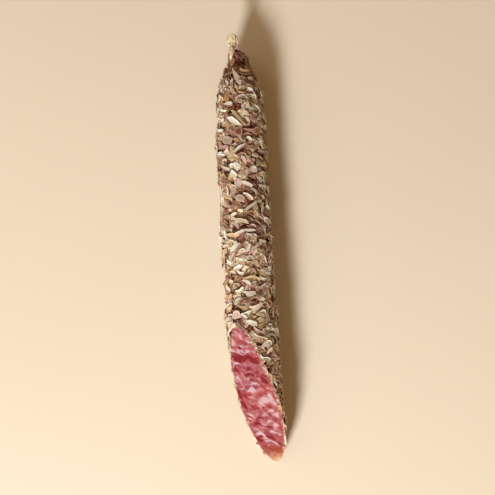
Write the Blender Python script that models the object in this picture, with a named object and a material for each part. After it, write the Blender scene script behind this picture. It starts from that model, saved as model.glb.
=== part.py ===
"""A thin cured sausage rolled in dried onion: one end tied off, the other sliced at a slant.

It lies on its side along Y, the tied end towards +Y and the cut end towards -Y. Metres, +Z up.
The origin is the middle of the bounding box's underside.
"""

import math

import bmesh
import bpy
from mathutils import Vector

MM = 0.001

# Driving dimensions, in millimetres. "Along" is the distance from the nose, down the sausage.
RADIUS = 13.2  # outside the coat, on the plump part
CUT_END = 214.4  # along: the sharp tip that the slanting cut leaves
CUT_ANGLE = math.radians(20.3)  # between the cut and the sausage's axis
CUT_ROLL = math.radians(41)  # how far the open side is turned from straight up, towards -X
BOW = 2.0  # how far the middle bends towards -X
END_BEND = 2.1  # how far the cut end bends towards -X
END_BEND_START = 125.0  # along: where that bend starts
BELLY = 0.3  # how much the underside is pressed flat

NOSE_RADIUS = 5.7  # the gathered end
NOSE_CAP = 5.0  # along: where the rounded end of the nose stops
COLLAR = 8.4  # along: where the gathered end starts to widen
COLLAR_BLEND = 1.1  # how softly it starts to
SHOULDER = 9.0  # how slowly it widens to the full radius
NOSE_LIFT = 1.2  # how far the nose rises off the table
LIFT_LENGTH = 16.0  # along: how soon that rise dies away

PLEATS = 7
PLEAT_DEPTH = 0.09  # share of the radius, at the nose
PLEAT_LENGTH = 9.0  # along: how soon the pleats die away
PLEAT_TWIST = 0.05  # radians a millimetre

LUMPS = (  # share of the radius, waves down the sausage, waves round it, phase
    (0.018, 4.9, 0, 0.17),
    (0.010, 5.3, 1, 2.1),
    (0.008, 9.5, 2, 0.9),
    (0.006, 14.0, 3, 4.2),
)

TAIL_ROOT = Vector((-2.5, 0.5, 17.4))  # where the casing's twisted end leaves the nose
TAIL_TIP = Vector((-2.3, 8.6, 20.4))
TAIL_SAG = 0.6  # how far the twist hangs below a straight line
STALK_RADIUS = 1.6
KNOT_RADIUS = 2.7
KNOT_PLACE = 0.64  # share of the tail's length
KNOT_LENGTH = 0.22  # share of the tail's length
TIP_SHARE = 0.03  # what the rounding leaves of the tip's radius, squared
TAIL_LOBES = 3
LOBE_DEPTH = 0.14  # share of the radius
TAIL_TURNS = 0.8
GATHER_LENGTH = 2.0  # along: how soon the cap stops leaning towards the tail's root

SIDES = 56  # faces round each ring
CAP_STATIONS = [0.2, 0.8, 1.8]  # along: the first rings
NOSE_STEP = 1.5
BODY_STEP = 4.6
FINE_LENGTH = 26.0  # along: where the rings change from fine to coarse
TAIL_RINGS = 12
TIP_CROWDING = 1.5  # the power that draws the tail's rings together towards its tip
SNAP = 0.01  # points this near the cut count as on it

COAT_COLOUR = (0.47, 0.35, 0.23, 1)
COAT_ROUGHNESS = 0.8
MEAT_COLOUR = (0.50, 0.14, 0.14, 1)
MEAT_ROUGHNESS = 0.4
SHARP_ANGLE = math.radians(40)


def smooth_ramp(x, width):
    """Zero below x = 0 and x above it, with the corner rounded over the width."""
    return max(x, 0) + width * math.log1p(math.exp(-abs(x) / width))


def profile(along):
    """The radius at a distance from the nose, before lumps and pleats."""
    widening = smooth_ramp(along - COLLAR, COLLAR_BLEND)
    radius = RADIUS - (RADIUS - NOSE_RADIUS) * math.exp(-widening / SHOULDER)
    if along < NOSE_CAP:
        radius *= math.sqrt(1 - (1 - along / NOSE_CAP) ** 2)
    return radius


def unevenness(along, angle):
    """The factor on the radius from lumps on the body and pleats round the nose."""
    share = along / CUT_END
    fade = 1 - math.exp(-along / LIFT_LENGTH)
    lumps = sum(
        size * math.sin(2 * math.pi * waves * share + rounds * angle + phase)
        for size, waves, rounds, phase in LUMPS
    )
    folds = math.cos(PLEATS * (angle + PLEAT_TWIST * along)) * math.exp(-along / PLEAT_LENGTH)
    return 1 + fade * lumps + PLEAT_DEPTH * folds


def axis_point(along):
    """The middle of the sausage. The nose tip is at y = 0 and the table at z = 0."""
    share = min(along / CUT_END, 1)
    end_share = max(0, (along - END_BEND_START) / (CUT_END - END_BEND_START))
    bend = BOW * math.sin(math.pi * share) + END_BEND * end_share**2
    lift = NOSE_LIFT * math.exp(-along / LIFT_LENGTH)
    return Vector((-bend, -along, RADIUS - BELLY + lift))


def body_ring(along):
    """The points round the sausage at one distance from the nose."""
    middle = axis_point(along)
    lean = math.exp(-along / GATHER_LENGTH)
    middle.x += (TAIL_ROOT.x - middle.x) * lean
    middle.z += (TAIL_ROOT.z - middle.z) * lean
    ring = []
    for side in range(SIDES):
        angle = 2 * math.pi * side / SIDES
        radius = profile(along) * unevenness(along, angle)
        ring.append(middle + radius * Vector((math.cos(angle), 0, math.sin(angle))))
    return ring


def tail_radius(share):
    """Thin at the root, fat at the knot and rounded off at the tip."""
    knot = math.exp(-(((share - KNOT_PLACE) / KNOT_LENGTH) ** 2))
    past_knot = max(0, (share - KNOT_PLACE) / (1 - KNOT_PLACE))
    rounding = math.sqrt(1 - (1 - TIP_SHARE) * past_knot**2)
    return rounding * (STALK_RADIUS + (KNOT_RADIUS - STALK_RADIUS) * knot)


def tail_ring(share):
    """The points round the twisted casing, from its root at 0 to its tip at 1."""
    run = TAIL_TIP - TAIL_ROOT
    middle = TAIL_ROOT + run * share
    middle.z -= TAIL_SAG * math.sin(math.pi * share)
    across = Vector((0, 0, 1)).cross(run).normalized()
    up = run.cross(across).normalized()
    ring = []
    for side in range(SIDES):
        angle = 2 * math.pi * side / SIDES
        twist = TAIL_LOBES * (angle + 2 * math.pi * TAIL_TURNS * share)
        radius = tail_radius(share) * (1 + LOBE_DEPTH * math.cos(twist))
        ring.append(middle + radius * (math.sin(angle) * up - math.cos(angle) * across))
    return ring


def stations():
    """Distances from the nose at which the body's rings stand, to a little past the cut's tip."""
    found = list(CAP_STATIONS)
    while found[-1] < CUT_END:
        found.append(found[-1] + (NOSE_STEP if found[-1] < FINE_LENGTH else BODY_STEP))
    return found


def loft(rings):
    """A closed mesh through rings that have the same number of points."""
    mesh = bmesh.new()
    loops = [[mesh.verts.new(point * MM) for point in ring] for ring in rings]
    for near, far in zip(loops, loops[1:]):
        for side in range(SIDES):
            after = (side + 1) % SIDES
            mesh.faces.new((near[side], near[after], far[after], far[side]))
    mesh.faces.new(loops[0])
    mesh.faces.new(loops[-1])
    bmesh.ops.recalc_face_normals(mesh, faces=mesh.faces)
    return mesh


def press_belly(mesh):
    """Flattens what would reach below the table."""
    for vertex in mesh.verts:
        vertex.co.z = max(vertex.co.z, 0)


def slice_end(mesh):
    """Cuts the end off at a slant, closes the cut with one face and gives it the second material."""
    open_side = Vector((-math.sin(CUT_ROLL), 0, math.cos(CUT_ROLL)))
    cut = bmesh.ops.bisect_plane(
        mesh,
        geom=mesh.verts[:] + mesh.edges[:] + mesh.faces[:],
        dist=SNAP * MM,
        plane_co=axis_point(CUT_END - RADIUS / math.tan(CUT_ANGLE)) * MM,
        plane_no=math.sin(CUT_ANGLE) * Vector((0, -1, 0)) + math.cos(CUT_ANGLE) * open_side,
        clear_outer=True,
    )
    rim = [item for item in cut["geom_cut"] if isinstance(item, bmesh.types.BMEdge)]
    for face in bmesh.ops.edgeloop_fill(mesh, edges=rim)["faces"]:
        face.material_index = 1
    bmesh.ops.recalc_face_normals(mesh, faces=mesh.faces)


def stand_on_origin(mesh):
    """Moves the middle of the bounding box's underside to the origin."""
    low = Vector([min(vertex.co[axis] for vertex in mesh.verts) for axis in range(3)])
    high = Vector([max(vertex.co[axis] for vertex in mesh.verts) for axis in range(3)])
    base = Vector(((low.x + high.x) / 2, (low.y + high.y) / 2, low.z))
    bmesh.ops.translate(mesh, verts=mesh.verts, vec=-base)


def material(name, colour, roughness):
    made = bpy.data.materials.new(name)
    made.use_nodes = True
    shader = made.node_tree.nodes["Principled BSDF"]
    shader.inputs["Base Color"].default_value = colour
    shader.inputs["Roughness"].default_value = roughness
    return made


def make_sausage():
    rings = [tail_ring(1 - (ring / (TAIL_RINGS - 1)) ** TIP_CROWDING) for ring in range(TAIL_RINGS)]
    rings += [body_ring(along) for along in stations()]
    mesh = loft(rings)
    press_belly(mesh)
    slice_end(mesh)
    stand_on_origin(mesh)

    data = bpy.data.meshes.new("sausage")
    mesh.to_mesh(data)
    mesh.free()
    data.shade_smooth()
    data.set_sharp_from_angle(angle=SHARP_ANGLE)
    data.materials.append(material("coat", COAT_COLOUR, COAT_ROUGHNESS))
    data.materials.append(material("meat", MEAT_COLOUR, MEAT_ROUGHNESS))
    bpy.context.scene.collection.objects.link(bpy.data.objects.new("sausage", data))


def main():
    for old in list(bpy.data.objects):
        bpy.data.objects.remove(old)
    make_sausage()


main()
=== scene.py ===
"""The looks of a thin cured sausage rolled in dried onion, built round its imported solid.

One end is tied off and the other sliced at a slant. Lengths are in millimetres until a mesh is
made. "Along" is the distance from the nose down the sausage, and "height" is measured outwards
from the solid's surface, which is the coat's mean outside.
"""

import itertools
import math

import bpy
import numpy as np
from mathutils import Matrix, Vector


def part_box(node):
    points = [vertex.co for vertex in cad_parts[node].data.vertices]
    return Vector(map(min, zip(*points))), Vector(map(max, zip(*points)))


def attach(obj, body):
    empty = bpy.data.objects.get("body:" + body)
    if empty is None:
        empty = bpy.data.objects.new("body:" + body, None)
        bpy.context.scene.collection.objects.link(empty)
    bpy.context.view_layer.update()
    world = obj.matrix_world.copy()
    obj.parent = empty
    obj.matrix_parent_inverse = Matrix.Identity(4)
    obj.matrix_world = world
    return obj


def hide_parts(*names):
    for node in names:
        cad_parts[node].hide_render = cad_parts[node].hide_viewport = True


MM = 0.001
SEED = 7

# The solid's form, as the part gives it.
RADIUS = 13.2
CUT_END = 214.4
CUT_ANGLE = math.radians(20.3)
CUT_ROLL = math.radians(41)
BOW = 2.0
END_BEND = 2.1
END_BEND_START = 125.0
BELLY = 0.3
NOSE_RADIUS = 5.7
NOSE_CAP = 5.0
COLLAR = 8.4
COLLAR_BLEND = 1.1
SHOULDER = 9.0
NOSE_LIFT = 1.2
LIFT_LENGTH = 16.0
PLEATS = 7
PLEAT_DEPTH = 0.09
PLEAT_LENGTH = 9.0
PLEAT_TWIST = 0.05
LUMPS = (  # share of the radius, waves down the sausage, waves round it, phase
    (0.018, 4.9, 0, 0.17),
    (0.010, 5.3, 1, 2.1),
    (0.008, 9.5, 2, 0.9),
    (0.006, 14.0, 3, 4.2),
)
TAIL_ROOT = (-2.5, 0.5, 17.4)
GATHER_LENGTH = 2.0
TAIL_REACH = 8.70  # how far the tail stands past the nose
LEFT_REACH = 15.61  # how far the sausage reaches to -X of the line that its ends lie on

# What the coat hides.
CASING = -1.9  # height of the casing's skin
MEAT_EDGE = -1.1  # height at which the cut meat ends
SLOPE_STEP = 0.05  # for the slope of the profile
STEEPEST = 3.0  # the slope that the cap's end is taken to have

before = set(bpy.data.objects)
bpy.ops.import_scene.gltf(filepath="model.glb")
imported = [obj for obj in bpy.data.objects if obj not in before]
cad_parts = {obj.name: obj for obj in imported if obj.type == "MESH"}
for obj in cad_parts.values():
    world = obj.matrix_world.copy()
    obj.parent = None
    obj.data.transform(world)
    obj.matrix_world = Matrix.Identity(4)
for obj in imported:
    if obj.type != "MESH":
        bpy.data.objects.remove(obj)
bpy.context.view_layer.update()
box_low, box_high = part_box("sausage")
NOSE_PLACE = np.array((box_low.x / MM + LEFT_REACH, box_high.y / MM - TAIL_REACH, 0.0))


# ---------------------------------------------------------------- noise


def hashed(cells, seed):
    """A repeatable number from -1 to 1 for each row of three whole numbers."""
    mixed = cells @ np.array((73856093, 19349663, 83492791)) + seed * 2654435761
    mixed = ((mixed ^ (mixed >> 13)) * 1274126177) & 0xFFFFFFFF
    mixed = (mixed ^ (mixed >> 16)) & 0xFFFF
    return mixed / 32767.5 - 1


def noise(points, size, seed):
    """Smooth bumps from -1 to 1, about `size` across, at points (n, 3)."""
    cells = np.asarray(points) / size
    base = np.floor(cells).astype(np.int64)
    part = cells - base
    part = part * part * (3 - 2 * part)
    total = np.zeros(len(cells))
    for corner in itertools.product((0, 1), repeat=3):
        weight = np.prod(np.where(corner, part, 1 - part), axis=1)
        total += weight * hashed(base + corner, seed)
    return total


def blend(low, high, x):
    """0 below low, 1 above high, smooth between."""
    share = np.clip((x - low) / (high - low), 0, 1)
    return share * share * (3 - 2 * share)


# ---------------------------------------------------------------- form


def profile(along):
    """The radius at a distance from the nose, before lumps and pleats."""
    widening = COLLAR_BLEND * np.logaddexp(0, (along - COLLAR) / COLLAR_BLEND)
    radius = RADIUS - (RADIUS - NOSE_RADIUS) * np.exp(-widening / SHOULDER)
    cap = 1 - np.clip(along / NOSE_CAP, 0, 1)
    return radius * np.sqrt(1 - cap**2)


def unevenness(along, angle):
    """The factor on the radius from lumps on the body and pleats round the nose."""
    share = along / CUT_END
    fade = 1 - np.exp(-along / LIFT_LENGTH)
    lumps = sum(
        size * np.sin(2 * np.pi * waves * share + rounds * angle + phase)
        for size, waves, rounds, phase in LUMPS
    )
    folds = np.cos(PLEATS * (angle + PLEAT_TWIST * along)) * np.exp(-along / PLEAT_LENGTH)
    return 1 + fade * lumps + PLEAT_DEPTH * folds


def axis_point(along):
    """The middle of the sausage, (..., 3), with the nose's tip at y = 0."""
    end_share = np.maximum(0, (along - END_BEND_START) / (CUT_END - END_BEND_START))
    bend = -BOW * np.sin(np.pi * np.clip(along / CUT_END, 0, 1)) - END_BEND * end_share**2
    lift = NOSE_LIFT * np.exp(-along / LIFT_LENGTH)
    lean = np.exp(-np.maximum(along, 0) / GATHER_LENGTH)
    x = bend + (TAIL_ROOT[0] - bend) * lean
    level = RADIUS - BELLY + lift
    z = level + (TAIL_ROOT[2] - level) * lean
    return np.stack((x, -along, z), axis=-1)


def skin(along, angle, height):
    """Points at a height over the solid's surface. The arrays must have one shape."""
    along = np.maximum(along, 0)
    slope = (profile(along + SLOPE_STEP) - profile(np.maximum(along - SLOPE_STEP, 0))) / (
        2 * SLOPE_STEP
    )
    slope = np.minimum(slope, STEEPEST)
    radial = np.stack((np.cos(angle), np.zeros_like(angle), np.sin(angle)), axis=-1)
    outward = radial + slope[..., None] * np.array((0, 1, 0))
    outward /= np.linalg.norm(outward, axis=-1, keepdims=True)
    radius = profile(along) * unevenness(along, angle)
    return axis_point(along) + radius[..., None] * radial + height[..., None] * outward


CUT_NORMAL = np.array(
    (
        -math.cos(CUT_ANGLE) * math.sin(CUT_ROLL),
        -math.sin(CUT_ANGLE),
        math.cos(CUT_ANGLE) * math.cos(CUT_ROLL),
    )
)
CUT_MIDDLE = axis_point(np.array(CUT_END - RADIUS / math.tan(CUT_ANGLE)))
DOWN_CUT = np.array((0, -1, 0)) + CUT_NORMAL[1] * CUT_NORMAL
DOWN_CUT /= np.linalg.norm(DOWN_CUT)
ACROSS_CUT = np.cross(CUT_NORMAL, DOWN_CUT)


def past_cut(points):
    """How far points stand out of the cut's plane, on the side that was sliced away."""
    return (points - CUT_MIDDLE) @ CUT_NORMAL


def cut_along(angle, height):
    """Where the cut's plane meets the skin at each angle."""
    near = np.full_like(angle, CUT_END - 90)
    far = np.full_like(angle, CUT_END + 10)
    for _ in range(30):
        middle = (near + far) / 2
        out = past_cut(skin(middle, angle, np.full_like(angle, height))) > 0
        far = np.where(out, middle, far)
        near = np.where(out, near, middle)
    return near


BELLY_SOFTNESS = 0.12


def on_table(points):
    """Presses what would reach below the table up onto it."""
    pressed = points.copy()
    pressed[..., 2] = BELLY_SOFTNESS * np.logaddexp(0, points[..., 2] / BELLY_SOFTNESS)
    return pressed


def trimmed(points, spare):
    """Draws what stands out of the cut by more than `spare` back up the sausage to that."""
    over = np.maximum(past_cut(points) - spare, 0)
    return points + over[..., None] / math.sin(CUT_ANGLE) * np.array((0, 1, 0))


# ---------------------------------------------------------------- meshes


def number_layer(mesh, name, values):
    values = np.asarray(values, np.float32)
    kind = "FLOAT_VECTOR" if values.ndim == 2 else "FLOAT"
    layer = mesh.attributes.new(name, kind, "POINT")
    layer.data.foreach_set("vector" if values.ndim == 2 else "value", values.ravel())


def make_piece(name, points, faces, maps, material, layers=(), sharp=180):
    """An object from points in the nose's frame, in millimetres, riding on the part.

    faces and maps are lists of arrays: (n, corners) point numbers and (n, corners, 2) map places.
    """
    mesh = bpy.data.meshes.new(name)
    corners = np.concatenate([f.ravel() for f in faces]).astype(np.int32)
    totals = np.concatenate([np.full(len(f), f.shape[1]) for f in faces]).astype(np.int32)
    starts = np.concatenate(((0,), np.cumsum(totals)[:-1])).astype(np.int32)
    placed = (points + NOSE_PLACE) * MM
    mesh.vertices.add(len(placed))
    mesh.vertices.foreach_set("co", placed.astype(np.float32).ravel())
    mesh.loops.add(len(corners))
    mesh.loops.foreach_set("vertex_index", corners)
    mesh.polygons.add(len(totals))
    mesh.polygons.foreach_set("loop_start", starts)
    mesh.update(calc_edges=True)
    uv = np.concatenate([m.reshape(-1, 2) for m in maps]).astype(np.float32)
    mesh.uv_layers.new(name="OFBake").uv.foreach_set("vector", uv.ravel())
    for layer, values in dict(layers).items():
        number_layer(mesh, layer, values)
    mesh.shade_smooth()
    if sharp < 180:
        mesh.set_sharp_from_angle(angle=math.radians(sharp))
    mesh.materials.append(material)
    piece = bpy.data.objects.new(name, mesh)
    bpy.context.scene.collection.objects.link(piece)
    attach(piece, "root")
    return piece


def grid_faces(rows, columns, closed):
    """Quads between rows of points, and their map places. A closed grid's columns go round."""
    row, column = np.meshgrid(np.arange(rows - 1), np.arange(columns - (not closed)), indexing="ij")
    row, column = row.ravel(), column.ravel()
    after = (column + 1) % columns
    quads = np.stack(
        (row * columns + column, row * columns + after, (row + 1) * columns + after,
         (row + 1) * columns + column), axis=1
    )
    across = columns if closed else columns - 1
    u = np.stack((column, column + 1, column + 1, column), axis=1) / across
    v = np.stack((row, row, row + 1, row + 1), axis=1) / (rows - 1)
    return quads, np.stack((u, v), axis=-1)


def cap_face(numbers):
    """One face over a ring of points, mapped to a spot."""
    return np.array(numbers)[None, :], np.full((1, len(numbers), 2), 0.001)


# ---------------------------------------------------------------- shading


def shader(name):
    made = bpy.data.materials.new(name)
    made.use_nodes = True
    return made, made.node_tree.nodes["Principled BSDF"]


def put(material, kind, inputs=(), **settings):
    """A node with its settings and inputs. An input that is a socket is linked."""
    tree = material.node_tree
    made = tree.nodes.new("ShaderNode" + kind)
    for key, value in settings.items():
        setattr(made, key, value)
    for key, value in dict(inputs).items():
        if isinstance(value, bpy.types.NodeSocket):
            tree.links.new(value, made.inputs[key])
        else:
            made.inputs[key].default_value = value
    return made


def ramp(material, factor, stops):
    """A colour ramp over places and colours."""
    made = put(material, "ValToRGB", {"Fac": factor})
    elements = made.color_ramp.elements
    while len(elements) < len(stops):
        elements.new(0.5)
    for element, (place, colour) in zip(elements, stops):
        element.position = place
        element.color = (*colour, 1)
    return made.outputs["Color"]


def maths(material, operation, first, second=0.0, clamp=False):
    return put(
        material, "Math", {0: first, 1: second}, operation=operation, use_clamp=clamp
    ).outputs[0]


def mix(material, factor, first, second, how="MIX"):
    made = put(
        material, "Mix", {0: factor, 6: first, 7: second}, data_type="RGBA", blend_type=how
    )
    return made.outputs[2]


def layer(material, name, output="Fac"):
    return put(material, "Attribute", attribute_name=name).outputs[output]


def place(material):
    return put(material, "TexCoord").outputs["Object"]


def grain(material, vector, scale, detail=3.0, roughness=0.55, distortion=0.0):
    return put(
        material,
        "TexNoise",
        {"Vector": vector, "Scale": scale, "Detail": detail, "Roughness": roughness,
         "Distortion": distortion},
    ).outputs["Fac"]


def stretched(material, vector, scale):
    return put(material, "Mapping", {"Vector": vector, "Scale": scale}).outputs["Vector"]


def bump(material, height, strength, distance):
    return put(
        material, "Bump", {"Height": height, "Strength": strength, "Distance": distance}
    ).outputs["Normal"]


def wire(material, principled, **links):
    """Links sockets or sets values on the principled shader. Underscores stand for spaces."""
    for key, value in links.items():
        socket = principled.inputs[key.replace("_", " ")]
        if isinstance(value, bpy.types.NodeSocket):
            material.node_tree.links.new(value, socket)
        else:
            socket.default_value = value


# The paler colour screened over flake edges: partly the dried onion's own paler edge, partly a painted
# highlight where edges catch the light.
FLAKE_RIM_AND_HIGHLIGHT = (0.66, 0.59, 0.47, 1)


def flake_material(name, rim_and_highlight_share):
    """Dried onion in each flake's own colour, streaked along it; its paler rim is partly its own edge,
    partly painted highlight.
    """
    made, principled = shader(name)
    fibres = grain(made, stretched(made, layer(made, "grain", "Vector"), (0.35, 2.6, 1)), 1.0)
    streaks = ramp(made, fibres, ((0.34, (0.66,) * 3), (0.48, (0.97,) * 3), (0.66, (1.16,) * 3)))
    colour = mix(made, 1.0, layer(made, "flake", "Color"), streaks, "MULTIPLY")
    # Paler rim: partly the onion's own edge colour, partly a painted highlight on lit edges.
    rim = mix(made, 1.0, FLAKE_RIM_AND_HIGHLIGHT, layer(made, "flake", "Color"), "SCREEN")
    edge = maths(made, "MULTIPLY", layer(made, "edge"), rim_and_highlight_share)
    colour = mix(made, edge, colour, rim)
    speckle = grain(made, place(made), 1500.0, 2.0)
    wire(
        made,
        principled,
        Base_Color=colour,
        Roughness=0.55,
        Normal=bump(made, maths(made, "ADD", fibres, speckle), 0.5, 0.15 * MM),
        Specular_IOR_Level=0.3,
        Subsurface_Weight=0.4,
        Subsurface_Radius=(0.9 * MM, 0.6 * MM, 0.4 * MM),
        Subsurface_Scale=1.0,
    )
    return made


def casing_material():
    made, principled = shader("casing_skin")
    spots = grain(made, place(made), 420.0, 4.0, 0.6)
    colour = ramp(
        made,
        spots,
        ((0.30, (0.090, 0.024, 0.017)), (0.50, (0.165, 0.055, 0.040)), (0.68, (0.22, 0.09, 0.060)),
         (0.82, (0.36, 0.22, 0.14))),
    )
    wire(
        made,
        principled,
        Base_Color=colour,
        Roughness=0.6,
        Normal=bump(made, grain(made, place(made), 900.0), 0.6, 0.25 * MM),
        Specular_IOR_Level=0.25,
    )
    return made


def tail_material():
    made, principled = shader("tail_skin")
    streaks = grain(made, stretched(made, layer(made, "grain", "Vector"), (0.5, 2.2, 1)), 1.0, 4.0)
    dry = ramp(
        made,
        streaks,
        ((0.32, (0.44, 0.27, 0.17)), (0.42, (0.58, 0.46, 0.30)), (0.54, (0.70, 0.64, 0.48)),
         (0.70, (0.80, 0.77, 0.70))),
    )
    # Pink-maroon near the root: partly the casing's own pink streaks, partly painted shade on the stalk's
    # right side, away from the key light.
    gathered = ramp(made, streaks, ((0.40, (0.32, 0.10, 0.14)), (0.62, (0.56, 0.38, 0.38))))
    colour = mix(made, layer(made, "root"), dry, gathered)
    wire(
        made,
        principled,
        Base_Color=colour,
        Roughness=0.45,
        Normal=bump(made, streaks, 0.4, 0.2 * MM),
        Subsurface_Weight=0.5,
        Subsurface_Radius=(1.2 * MM, 0.9 * MM, 0.6 * MM),
        Subsurface_Scale=1.0,
    )
    return made


MEAT_STOPS = (
    (0.12, (0.165, 0.006, 0.013)),
    (0.32, (0.232, 0.030, 0.040)),
    (0.48, (0.292, 0.070, 0.088)),
    (0.62, (0.355, 0.128, 0.152)),
    (0.80, (0.415, 0.228, 0.272)),
    (0.97, (0.470, 0.340, 0.400)),
)
HUE_STOPS = ((0.36, (1.07, 0.94, 0.84)), (0.50, (1.0, 1.0, 1.0)), (0.64, (0.93, 0.98, 1.12)))
DRY_COLOUR = (0.27, 0.052, 0.026)
TIP_COLOUR = (0.40, 0.19, 0.12)
RIND_COLOUR = (0.55, 0.36, 0.21)


def meat_material():
    made, principled = shader("cut_meat")
    fine = grain(made, place(made), 1100.0, 3.0)
    swing = maths(made, "MULTIPLY_ADD", fine, 0.22)
    swing.node.inputs[2].default_value = -0.11
    tone = maths(made, "ADD", layer(made, "tone"), swing, clamp=True)
    colour = ramp(made, tone, MEAT_STOPS)
    drift = grain(made, place(made), 190.0, 2.0)
    colour = mix(made, 1.0, colour, ramp(made, drift, HUE_STOPS), "MULTIPLY")
    colour = mix(made, layer(made, "dry"), colour, (*DRY_COLOUR, 1))
    colour = mix(made, layer(made, "tip"), colour, (*TIP_COLOUR, 1))
    colour = mix(made, layer(made, "rind"), colour, (*RIND_COLOUR, 1))
    wet = grain(made, place(made), 500.0, 2.0)
    wire(
        made,
        principled,
        Base_Color=colour,
        Roughness=ramp(made, wet, ((0.3, (0.36,) * 3), (0.7, (0.58,) * 3))),
        Specular_IOR_Level=0.25,
        Normal=bump(made, fine, 0.35, 0.15 * MM),
        Subsurface_Weight=0.3,
        Subsurface_Radius=(0.6 * MM, 0.25 * MM, 0.2 * MM),
        Subsurface_Scale=1.0,
    )
    return made


# ---------------------------------------------------------------- casing

CASING_SIDES = 240
BODY_ROWS = 190
CUT_ROWS = 110
SLANT_START = CUT_END - 88  # along: where the rows start to lean towards the cut
WRINKLE = 0.22


def make_casing():
    """The dark skin under the coat, gathered at the nose and open at the cut."""
    angle = np.arange(CASING_SIDES) * 2 * np.pi / CASING_SIDES
    straight = SLANT_START * np.linspace(0.03, 1, BODY_ROWS) ** 1.25
    straight = np.repeat(straight[:, None], CASING_SIDES, axis=1)
    share = np.linspace(0, 1, CUT_ROWS + 1)[1:, None]
    leaning = SLANT_START + share * (cut_along(angle, CASING) - SLANT_START)[None, :]
    along = np.concatenate((straight, leaning))
    around = np.broadcast_to(angle, along.shape)
    flat = skin(along, around, np.zeros_like(along)).reshape(-1, 3)
    long_wrinkles = noise(flat * (1, 0.25, 1), 1.3, 11) + 0.5 * noise(flat * (1, 0.4, 1), 0.7, 12)
    wrinkles = (WRINKLE * long_wrinkles).reshape(along.shape)
    wrinkles *= 1 - blend(-0.1, 0.0, past_cut(flat)).reshape(along.shape)
    near_nose = np.exp(-along / PLEAT_LENGTH)
    fine_pleats = 0.3 * near_nose * np.cos(23 * around + 1.1 * np.sin(5 * around) + 0.06 * along)
    height = CASING * blend(0.0, 5.0, along) + wrinkles + fine_pleats
    points = skin(along, around, height).reshape(-1, 3)
    points = trimmed(on_table(points), -0.1)
    rows = len(along)
    quads, places = grid_faces(rows, CASING_SIDES, True)
    first = cap_face(np.arange(CASING_SIDES)[::-1])
    last = cap_face((rows - 1) * CASING_SIDES + np.arange(CASING_SIDES))
    piece = make_piece(
        "casing",
        points,
        [quads, first[0], last[0]],
        [places, first[1], last[1]],
        casing_material(),
    )
    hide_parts("sausage")


# ---------------------------------------------------------------- cut face

FACE_ROWS = 420
FACE_COLUMNS = 140
FACE_RISE = 0.25
SKIRT_DEPTH = 0.9
FAT_COUNT = 230
DEEP_COUNT = 110
TONE_SPREAD = 0.125
MARK_STRENGTH = 1.25
MEAT_LEAN = math.radians(20)  # how far the meat's streaks fall to the right
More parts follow.
